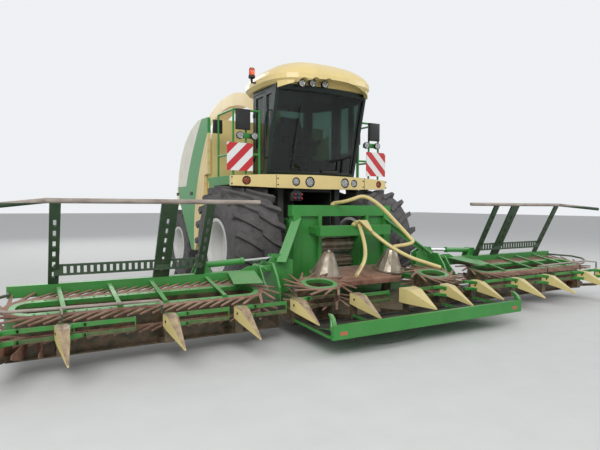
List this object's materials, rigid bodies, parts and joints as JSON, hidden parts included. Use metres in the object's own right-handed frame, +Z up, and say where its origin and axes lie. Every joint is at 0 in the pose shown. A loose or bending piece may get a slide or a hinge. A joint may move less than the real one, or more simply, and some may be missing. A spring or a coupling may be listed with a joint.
{
  "type": "forage harvester",
  "caption": "Self-propelled forage harvester with glazed cab, discharge chute and a wide folding maize header on a lifting feeder.",
  "frame": {"origin": "on the ground under the middle of the machine's length and width", "axes": "+X to the machine's left, -Y forward, +Z up"},
  "size_m": [9.3266, 8.2258, 3.9882],
  "materials": {
    "frame_paint": "satin dark grey paint",
    "cream_paint": "gloss cream paint",
    "green_paint": "gloss green paint, worn",
    "dark_green_paint": "satin dark green paint",
    "window_glass": "green tinted glass",
    "engine_iron": "rough cast",
    "rusty_iron": "worn and rusty",
    "bare_steel": "bare steel worn bright by the crop",
    "rim_paint": "silver paint",
    "tyre_rubber": "dusty black rubber",
    "seat_fabric": "black woven cloth",
    "black_plastic": "grained",
    "lamp_lens": "clear lens",
    "warning_foil": "red and white stripes"
  },
  "bodies": {
    "chassis": {"main_frame": "frame_paint", "front_axle": "frame_paint", "rear_axle": "frame_paint", "engine_block": "engine_iron", "crop_tunnel": "green_paint", "cab_shell": "dark_green_paint", "cab_glass": "window_glass", "cab_roof": "cream_paint", "driver_seat": "seat_fabric", "control_console": "black_plastic", "front_bumper": "cream_paint", "platforms": "green_paint", "side_panels": "cream_paint", "rear_hood": "cream_paint", "radiator_grille": "black_plastic", "lamps": "lamp_lens", "mirrors": "black_plastic", "warning_boards": "warning_foil"},
    "door_left": {"door_left": "dark_green_paint", "door_left_glass": "window_glass"},
    "door_right": {"door_right": "dark_green_paint", "door_right_glass": "window_glass"},
    "knuckle_left": {"knuckle_left": "frame_paint"},
    "knuckle_right": {"knuckle_right": "frame_paint"},
    "chute_turret": {"chute_turret": "cream_paint"},
    "chute_arm": {"chute_arm": "cream_paint"},
    "chute_flap": {"chute_flap": "cream_paint"},
    "feeder": {"feeder_housing": "green_paint", "header_frame": "green_paint", "header_collector": "rusty_iron", "header_points": "cream_paint", "crop_pusher": "cream_paint", "transport_guard": "green_paint"},
    "feed_roll_upper": {"feed_roll_upper": "bare_steel"},
    "feed_roll_lower": {"feed_roll_lower": "bare_steel"},
    "lift_barrels": {"lift_barrels": "frame_paint"},
    "lift_rods": {"lift_rods": "bare_steel"},
    "front_wheel_left": {"front_tyre_left": "tyre_rubber", "front_rim_left": "rim_paint"},
    "rear_wheel_left": {"rear_tyre_left": "tyre_rubber", "rear_rim_left": "rim_paint"},
    "cone_left": {"cone_left": "bare_steel"},
    "wing_left": {"wing_frame_left": "green_paint", "wing_collector_left": "rusty_iron", "wing_points_left": "cream_paint", "wing_guard_left": "dark_green_paint"},
    "fold_barrel_left": {"fold_barrel_left": "green_paint"},
    "fold_rod_left": {"fold_rod_left": "bare_steel"},
    "front_wheel_right": {"front_tyre_right": "tyre_rubber", "front_rim_right": "rim_paint"},
    "rear_wheel_right": {"rear_tyre_right": "tyre_rubber", "rear_rim_right": "rim_paint"},
    "cone_right": {"cone_right": "bare_steel"},
    "wing_right": {"wing_frame_right": "green_paint", "wing_collector_right": "rusty_iron", "wing_points_right": "cream_paint", "wing_guard_right": "dark_green_paint"},
    "fold_barrel_right": {"fold_barrel_right": "green_paint"},
    "fold_rod_right": {"fold_rod_right": "bare_steel"}
  },
  "joints": [
    {"name": "front_wheel_left_spin", "type": "hinge", "parent": "chassis", "child": "front_wheel_left", "pos_m": [1.255, -1.03793, 0.943], "axis": [1, 0, 0], "continuous": true},
    {"name": "knuckle_left_steer", "type": "hinge", "parent": "chassis", "child": "knuckle_left", "pos_m": [0.8, 2.11207, 0.74], "axis": [0, 0, 1], "range_deg": [-40, 40]},
    {"name": "rear_wheel_left_spin", "type": "hinge", "parent": "knuckle_left", "child": "rear_wheel_left", "pos_m": [1.01, 2.11207, 0.74], "axis": [1, 0, 0], "continuous": true},
    {"name": "door_left_swing", "type": "hinge", "parent": "chassis", "child": "door_left", "pos_m": [0.86, -0.77893, 2.7], "axis": [0, 0, 1], "range_deg": [0, 80]},
    {"name": "front_wheel_right_spin", "type": "hinge", "parent": "chassis", "child": "front_wheel_right", "pos_m": [-1.255, -1.03793, 0.943], "axis": [1, 0, 0], "continuous": true},
    {"name": "knuckle_right_steer", "type": "hinge", "parent": "chassis", "child": "knuckle_right", "pos_m": [-0.8, 2.11207, 0.74], "axis": [0, 0, 1], "range_deg": [-40, 40]},
    {"name": "rear_wheel_right_spin", "type": "hinge", "parent": "knuckle_right", "child": "rear_wheel_right", "pos_m": [-1.01, 2.11207, 0.74], "axis": [1, 0, 0], "continuous": true},
    {"name": "door_right_swing", "type": "hinge", "parent": "chassis", "child": "door_right", "pos_m": [-0.86, -0.77893, 2.7], "axis": [0, 0, -1], "range_deg": [0, 80]},
    {"name": "chute_swivel", "type": "hinge", "parent": "chassis", "child": "chute_turret", "pos_m": [0, 0.31207, 3.08], "axis": [0, 0, 1], "range_deg": [-105, 105]},
    {"name": "chute_lift", "type": "hinge", "parent": "chute_turret", "child": "chute_arm", "pos_m": [0, 0.39578, 3.562], "axis": [1, 0, 0], "range_deg": [0, 28]},
    {"name": "chute_flap_tilt", "type": "hinge", "parent": "chute_arm", "child": "chute_flap", "pos_m": [0, 3.77576, 3.47306], "axis": [1, 0, 0], "range_deg": [-45, 15]},
    {"name": "header_lift", "type": "hinge", "parent": "chassis", "child": "feeder", "pos_m": [0, -1.03793, 1.3], "axis": [-1, 0, 0], "range_deg": [-3, 14]},
    {"name": "lift_barrels_swing", "type": "hinge", "parent": "chassis", "child": "lift_barrels", "pos_m": [0, -0.98793, 0.62], "axis": [-1, 0, 0], "range_deg": [-2.87, 13.38]},
    {"name": "lift_rods_slide", "type": "slide", "parent": "lift_barrels", "child": "lift_rods", "axis": [0, -0.9961, -0.0884], "range_m": [-0.03615, 0.16868]},
    {"name": "feed_roll_upper_spin", "type": "hinge", "parent": "feeder", "child": "feed_roll_upper", "pos_m": [0, -1.83793, 0.985], "axis": [1, 0, 0], "continuous": true},
    {"name": "feed_roll_lower_spin", "type": "hinge", "parent": "feeder", "child": "feed_roll_lower", "pos_m": [0, -1.81793, 0.725], "axis": [1, 0, 0], "continuous": true},
    {"name": "cone_left_spin", "type": "hinge", "parent": "feeder", "child": "cone_left", "pos_m": [0.56, -2.54397, 0.70388], "axis": [0, -0.1908, 0.9816], "continuous": true},
    {"name": "wing_left_fold", "type": "hinge", "parent": "feeder", "child": "wing_left", "pos_m": [1.56, -2.48793, 0.78], "axis": [0, -1, 0], "range_deg": [0, 88]},
    {"name": "fold_barrel_left_swing", "type": "hinge", "parent": "wing_left", "child": "fold_barrel_left", "pos_m": [2.35, -2.48793, 0.85], "axis": [0, -1, 0], "range_deg": [-10.17, 0]},
    {"name": "fold_rod_left_slide", "type": "slide", "parent": "fold_barrel_left", "child": "fold_rod_left", "axis": [-0.9988, 0, 0.0494], "range_m": [-0.32252, 0]},
    {"name": "cone_right_spin", "type": "hinge", "parent": "feeder", "child": "cone_right", "pos_m": [-0.56, -2.54397, 0.70388], "axis": [0, -0.1908, 0.9816], "continuous": true},
    {"name": "wing_right_fold", "type": "hinge", "parent": "feeder", "child": "wing_right", "pos_m": [-1.56, -2.48793, 0.78], "axis": [0, 1, 0], "range_deg": [0, 88]},
    {"name": "fold_barrel_right_swing", "type": "hinge", "parent": "wing_right", "child": "fold_barrel_right", "pos_m": [-2.35, -2.48793, 0.85], "axis": [0, 1, 0], "range_deg": [-10.17, 0]},
    {"name": "fold_rod_right_slide", "type": "slide", "parent": "fold_barrel_right", "child": "fold_rod_right", "axis": [0.9988, 0, 0.0494], "range_m": [-0.32252, 0]}
  ],
  "couplings": [
    {"joint": "knuckle_right_steer", "follows": "knuckle_left_steer", "ratio": 1},
    {"joint": "lift_barrels_swing", "follows": "header_lift", "ratio": 0.93678},
    {"joint": "lift_rods_slide", "follows": "header_lift", "m_per_rad": 0.67681},
    {"joint": "fold_barrel_left_swing", "follows": "wing_left_fold", "ratio": -0.11331},
    {"joint": "fold_rod_left_slide", "follows": "wing_left_fold", "m_per_rad": -0.20587},
    {"joint": "fold_barrel_right_swing", "follows": "wing_right_fold", "ratio": -0.11331},
    {"joint": "fold_rod_right_slide", "follows": "wing_right_fold", "m_per_rad": -0.20587}
  ]
}
